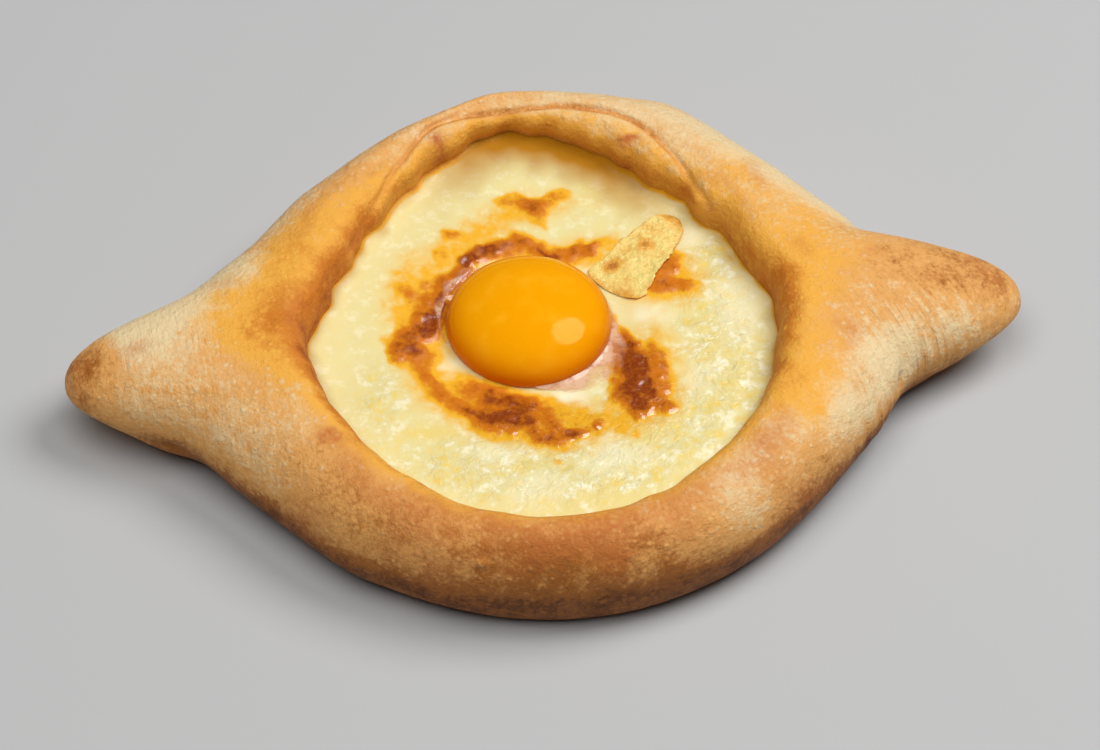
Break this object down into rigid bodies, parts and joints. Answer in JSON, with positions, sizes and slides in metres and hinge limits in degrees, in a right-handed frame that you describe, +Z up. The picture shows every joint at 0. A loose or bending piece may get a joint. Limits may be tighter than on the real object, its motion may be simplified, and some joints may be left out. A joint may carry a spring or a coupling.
{
  "type": "khachapuri",
  "caption": "Boat-shaped bread with a rolled rim and drawn-out ends, its well filled with baked melted cheese and a whole egg yolk.",
  "frame": {"origin": "centre of the bounding box on the flat underside, where the bread rests", "axes": "+X along the bread from horn to horn, +Y across it to the far side of the rim where the roll is open, +Z up"},
  "size_m": [0.2441, 0.1632, 0.033],
  "materials": {
    "crust": "baked bread crust, pale cream to golden brown, dull with a faint sheen",
    "cheese": "melted cheese, pale cream yellow with browned patches, oily sheen",
    "yolk": "soft egg yolk, deep yellow orange, wet gloss",
    "baked_strip": "dry baked strip, pale gold, slightly blistered"
  },
  "bodies": {
    "root": {"crust": "crust", "cheese": "cheese", "yolk": "yolk", "baked_strip": "baked_strip"}
  },
  "joints": []
}
